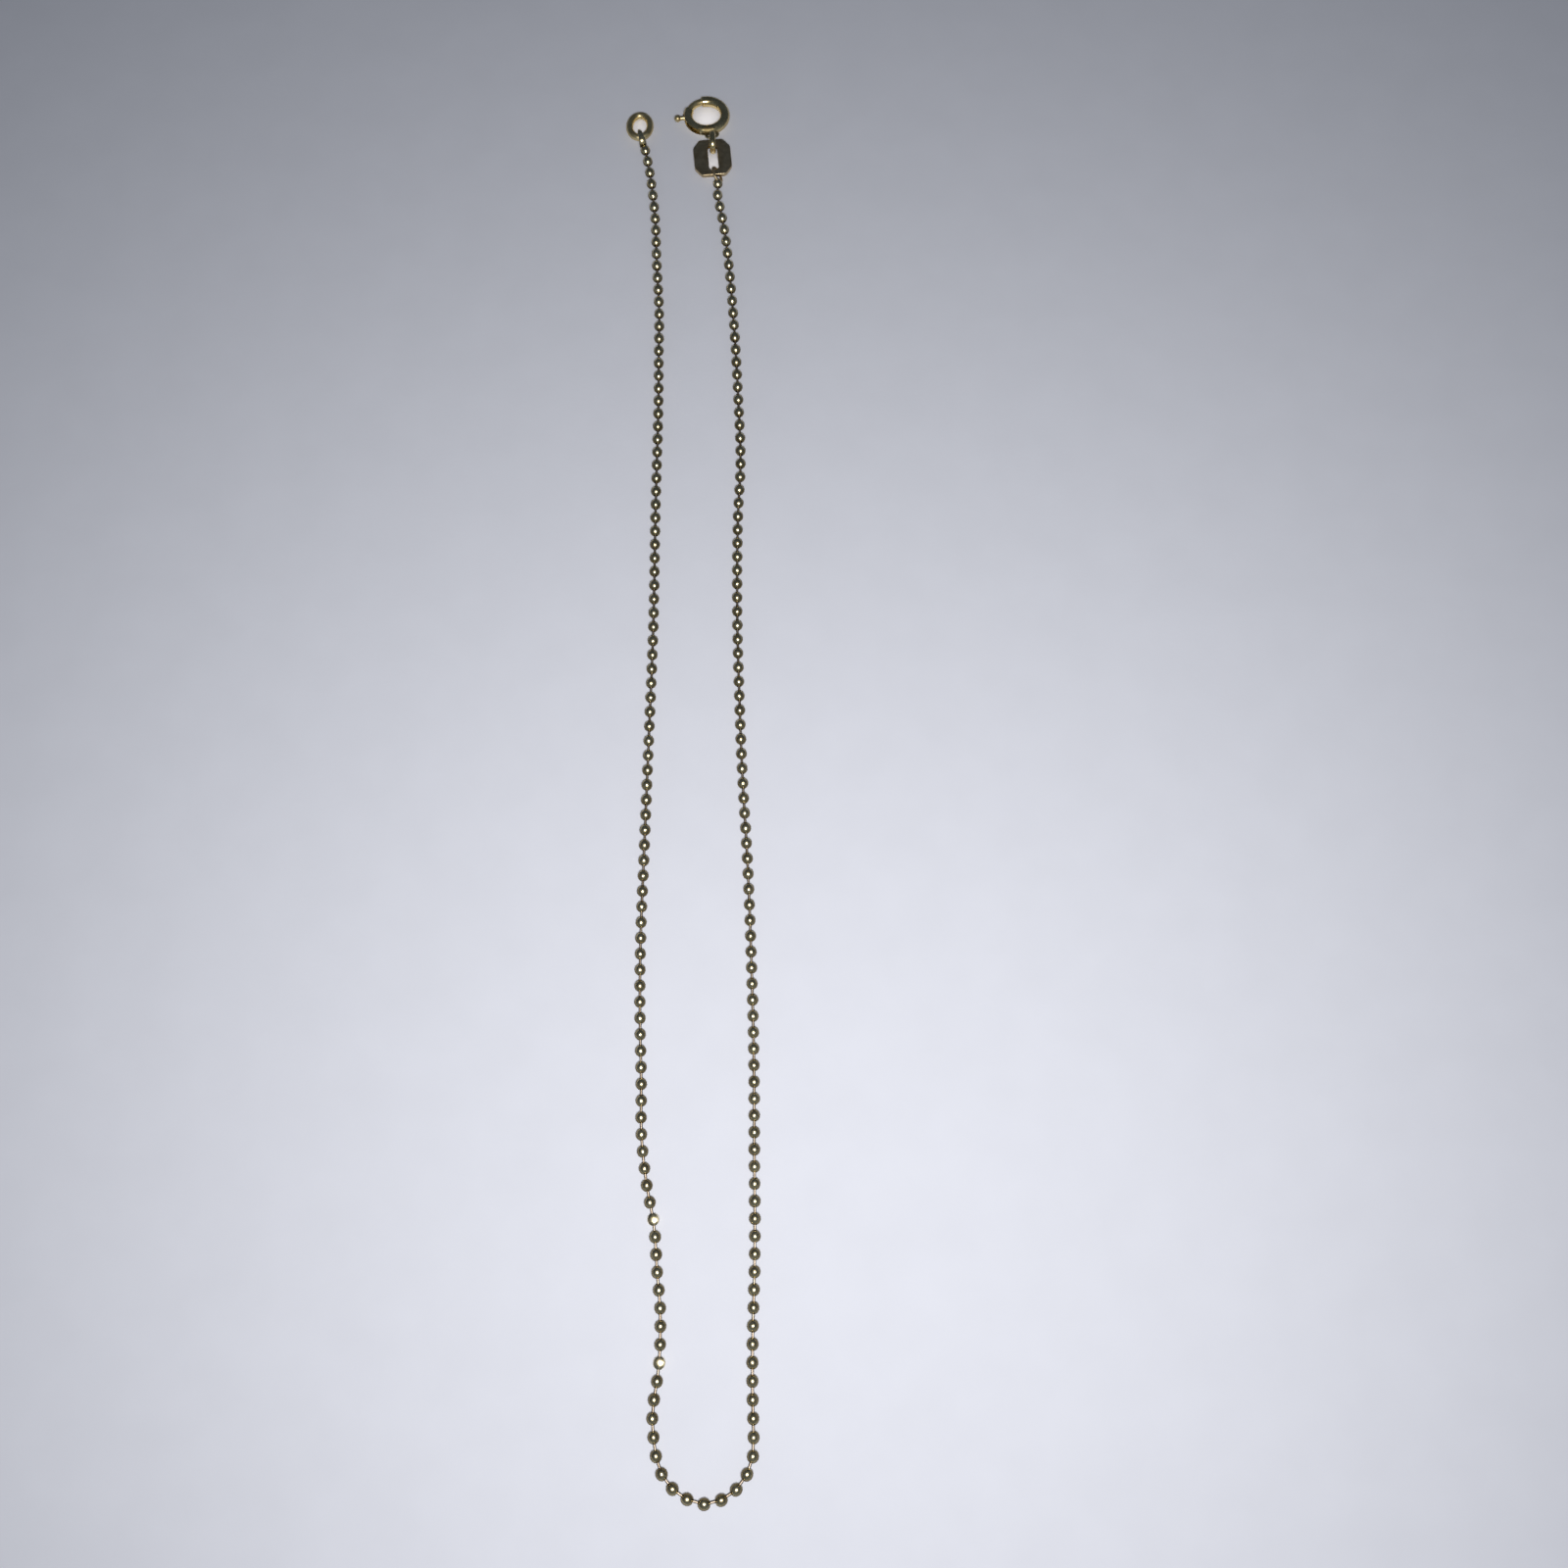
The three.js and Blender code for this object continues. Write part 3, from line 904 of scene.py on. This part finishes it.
def slot_outline():
    """The points round the tag plate's slot, half a circle at each of its ends."""
    radius = TAG["slot_width"] / 2
    points = []
    for end, first in ((TAG["slot_far"] - radius, 0), (TAG["slot_near"] + radius, math.pi)):
        for step in range(SLOT_STEPS + 1):
            angle = first + math.pi * step / SLOT_STEPS
            x = TAG["slot_offset"] + radius * math.cos(angle)
            points.append((x, end + radius * math.sin(angle)))
    return points


class ANKLET_OT_lay_stage(bpy.types.Operator):
    """Lay the paper and place the light and the camera"""

    bl_idname = "anklet.lay_stage"
    bl_label = "Paper, light and camera"

    def execute(self, context):
        stage = context.scene.anklet_stage
        half = PAPER_SIDE * MM / 2
        square = ((-half, -half), (half, -half), (half, half), (-half, half))
        mesh = bpy.data.meshes.new("paper")
        mesh.from_pydata([(x, y, -PAPER_DROP * MM) for x, y in square], [], [(0, 1, 2, 3)])
        mesh.materials.append(paper_material(stage.paper))
        link_to_scene(bpy.data.objects.new("paper", mesh))

        context.scene.world = dim_room(stage.room_far, stage.room_near)

        tip = math.radians(CAMERA["tip"])
        flash = bpy.data.lights.new("flash", "AREA")
        flash.shape = "DISK"
        flash.size = stage.flash_size
        flash.energy = stage.flash_power
        lamp = link_to_scene(bpy.data.objects.new("flash", flash))
        lamp.location = Vector(FLASH_AT) * MM
        lamp.rotation_euler = (tip, 0, 0)
        lamp.visible_camera = False
        for gleam in GLEAMS:
            place_gleam(gleam)

        camera = bpy.data.cameras.new("camera")
        camera.lens = CAMERA["lens"]
        camera.sensor_width = CAMERA["sensor"]
        camera.clip_start = CAMERA["nearest"] * MM
        viewer = link_to_scene(bpy.data.objects.new("camera", camera))
        viewer.location = Vector(CAMERA["at"]) * MM
        viewer.rotation_euler = (tip, 0, 0)
        context.scene.camera = viewer
        context.scene.view_settings.view_transform = "Standard"
        return {"FINISHED"}


class ANKLET_OT_thread_strands(bpy.types.Operator):
    """Thread the beads of both strands on their rods"""

    bl_idname = "anklet.thread_strands"
    bl_label = "Bead strands"

    def execute(self, context):
        settings = context.scene.anklet_strands
        source = random.Random(settings.seed)
        kinds = bpy.data.collections.new("bead kinds")
        for number in range(BEAD_KINDS):
            kinds.objects.link(bead_kind(f"bead {number}", source))
        kinds.objects.link(bead_kind("bead worn", source, worn=True))
        tree, identifiers = strand_tree()

        left = bead_middles("chain_left", LEFT_LOOP["at"])
        right = bead_middles("chain_right", RIGHT_LOOP["at"])
        end = (left[-1] + right[-1]) / 2
        strands = (
            ("left_strand", "chain_left", left, WORN_BEADS),
            ("right_strand", "chain_right", right, ()),
        )
        for number, (name, node, beads, worn) in enumerate(strands):
            start = beads[0] + (beads[0] - beads[1]).normalized() * END_ROD * MM
            maker = link_to_scene(bpy.data.objects.new(name, rod_line(name, beads, start, end, worn)))
            modifier = maker.modifiers.new("beads on a rod", "NODES")
            modifier.node_group = tree
            values = {
                "Beads": kinds,
                "Kinds": BEAD_KINDS,
                "Rod Radius": settings.rod_radius,
                "Rod Sides": ROD_SIDES,
                "Size Spread": settings.spread,
                "Lean": settings.lean,
                "Seed": settings.seed + SEED_STEP * number,
                "Gold": gold("chain"),
            }
            for key, value in values.items():
                modifier[identifiers[key]] = value
            mesh = evaluated_mesh(maker)
            bpy.data.objects.remove(maker)
            dress(finished(name, mesh), ANKLET, "chain_gold", node)

        for bead in list(kinds.objects):
            bpy.data.objects.remove(bead)
        bpy.data.collections.remove(kinds)
        return {"FINISHED"}


class ANKLET_OT_bend_links(bpy.types.Operator):
    """Bend the end loops, the loose link and the jump ring from round wire"""

    bl_idname = "anklet.bend_links"
    bl_label = "Loops, link and jump ring"

    def execute(self, context):
        pieces = (
            ("left_end_loop", LEFT_LOOP, standing_place, "chain", "chain_gold", "chain_left"),
            ("right_end_loop", RIGHT_LOOP, standing_place, "dull", "chain_gold", "chain_right"),
            ("loose_link", CLASP_LINK, standing_place, "ring", "ring_gold", "clasp_link"),
            ("jump_ring_wire", JUMP_RING, lying_place, "worn", "ring_gold", "jump_ring"),
        )
        for name, link, place, finish, slot, node in pieces:
            piece = make_piece(name, link_mesh(link, name), place(link), gold(finish))
            dress(piece, ANKLET, slot, node)
        return {"FINISHED"}


class ANKLET_OT_cut_tag(bpy.types.Operator):
    """Cut the tag plate with its slot"""

    bl_idname = "anklet.cut_tag"
    bl_label = "Tag plate"

    def execute(self, context):
        curve = bpy.data.curves.new("tag outline", "CURVE")
        curve.dimensions = "2D"
        curve.fill_mode = "BOTH"
        curve.offset = -TAG["bevel"]
        curve.extrude = TAG["thickness"] / 2 - TAG["bevel"]
        curve.bevel_depth = TAG["bevel"]
        curve.bevel_resolution = EDGE_STEPS
        for points in (tag_outline(), slot_outline()):
            spline = curve.splines.new("POLY")
            spline.points.add(len(points) - 1)
            for point, (x, y) in zip(spline.points, points):
                point.co = (x, y, 0, 1)
            spline.use_cyclic_u = True
        maker = link_to_scene(bpy.data.objects.new("tag outline", curve))
        shape = bmesh.new()
        shape.from_mesh(evaluated_mesh(maker))
        bpy.data.objects.remove(maker)
        place = Matrix.Translation(TAG["at"]) @ turn_about("Z", TAG["turn"])
        piece = make_piece("slotted_tag", shape_to_mesh(shape, "tag"), place, gold("plate"))
        dress(piece, ANKLET, "plate_gold", "tag_plate")
        return {"FINISHED"}


class ANKLET_OT_form_clasp(bpy.types.Operator):
    """Form the clasp's tube with its mouth, bore, knob slot and eye"""

    bl_idname = "anklet.form_clasp"
    bl_label = "Spring ring"

    def execute(self, context):
        radius = CLASP["radius"]
        bore = CLASP["bore"]
        slot_radius = radius + KNOB_SLOT["offset"]
        tube = bent_bar("tube", radius, CLASP["tube"], MOUTH_TO, MOUTH_FROM + 360, TUBE_EDGE)
        eye_width = EYE["hole"] + 2 * EYE["wire"]
        eye = link_mesh({"wire": EYE["wire"], "length": eye_width, "width": eye_width}, "eye")
        reach = Matrix.Translation((radius + CLASP["tube"] + EYE["hole"] / 2, 0, EYE["rise"]))
        eye.transform(turn_about("Z", EYE["angle"]) @ reach @ Matrix.Diagonal((1, EYE["widen"], 1, 1)))
        cutters = [
            bent_bar("bore", radius, bore, MOUTH_TO - OVERCUT, BORE_END),
            bent_bar("socket", radius, bore, MOUTH_FROM - SOCKET_DEPTH, MOUTH_FROM + OVERCUT),
            bent_bar("slot", slot_radius, KNOB_SLOT["radius"], KNOB_SLOT["from"], KNOB_SLOT["to"]),
        ]
        mesh = join_and_cut("spring ring", [tube, eye], cutters)
        piece = make_piece("spring_ring_tube", mesh, lying_place(CLASP), gold("ring"))
        dress(piece, ANKLET, "ring_gold", "spring_ring")
        return {"FINISHED"}


class ANKLET_OT_form_trigger(bpy.types.Operator):
    """Form the clasp's bolt with the knob that slides it"""

    bl_idname = "anklet.form_trigger"
    bl_label = "Trigger"

    def execute(self, context):
        radius = CLASP["radius"]
        bolt = bent_bar("bolt", radius, BOLT["radius"], BOLT["tip"], BOLT["tail"], BOLT_EDGE)
        neck = KNOB["neck"]
        ball = KNOB["ball"]
        centre = KNOB["reach"] - ball
        rows = [(radius, neck)]
        start = math.asin(neck / ball)
        for i in range(KNOB_RINGS):
            angle = start + (math.pi - start) * i / KNOB_RINGS
            rows.append((centre - ball * math.cos(angle), ball * math.sin(angle)))
        side = direction(math.radians(KNOB["angle"]))
        across = UP.cross(side)
        shape = bmesh.new()
        rings = [add_ring(shape, reach * side, across, UP, size, TUBE_SIDES) for reach, size in rows]
        skin(shape, rings)
        mesh = join_and_cut("trigger", [bolt, shape_to_mesh(shape, "knob")])
        piece = make_piece("trigger_bolt", mesh, lying_place(CLASP), gold("worn"))
        dress(piece, TRIGGER, "ring_gold", "clasp_trigger")
        return {"FINISHED"}


OPERATORS = (
    ANKLET_OT_lay_stage,
    ANKLET_OT_thread_strands,
    ANKLET_OT_bend_links,
    ANKLET_OT_cut_tag,
    ANKLET_OT_form_clasp,
    ANKLET_OT_form_trigger,
)


class VIEW3D_PT_anklet(bpy.types.Panel):
    """The anklet's pieces and settings"""

    bl_idname = "VIEW3D_PT_anklet"
    bl_label = "Bead chain anklet"
    bl_space_type = "VIEW_3D"
    bl_region_type = "UI"
    bl_category = "Anklet"

    def draw(self, context):
        scene = context.scene
        for settings in (scene.anklet_strands, scene.anklet_gold, scene.anklet_stage):
            box = self.layout.box()
            for name in settings.bl_rna.properties.keys():
                if name not in {"rna_type", "name"}:
                    box.prop(settings, name)
        for operator in OPERATORS:
            self.layout.operator(operator.bl_idname)


SETTINGS = {
    "anklet_strands": AnkletStrandSettings,
    "anklet_gold": AnkletGoldSettings,
    "anklet_stage": AnkletStageSettings,
}


def register():
    """Add the settings, the operators and the panel."""
    for kind in (*SETTINGS.values(), *OPERATORS, VIEW3D_PT_anklet):
        bpy.utils.register_class(kind)
    for name, kind in SETTINGS.items():
        setattr(bpy.types.Scene, name, PointerProperty(type=kind))


def unregister():
    """Take them away again."""
    for name in SETTINGS:
        delattr(bpy.types.Scene, name)
    for kind in (VIEW3D_PT_anklet, *OPERATORS, *SETTINGS.values()):
        bpy.utils.unregister_class(kind)


def main():
    """Make the anklet on its stage."""
    register()
    bpy.ops.anklet.lay_stage()
    bpy.ops.anklet.thread_strands()
    bpy.ops.anklet.bend_links()
    bpy.ops.anklet.cut_tag()
    bpy.ops.anklet.form_clasp()
    bpy.ops.anklet.form_trigger()


if __name__ == "__main__":
    main()
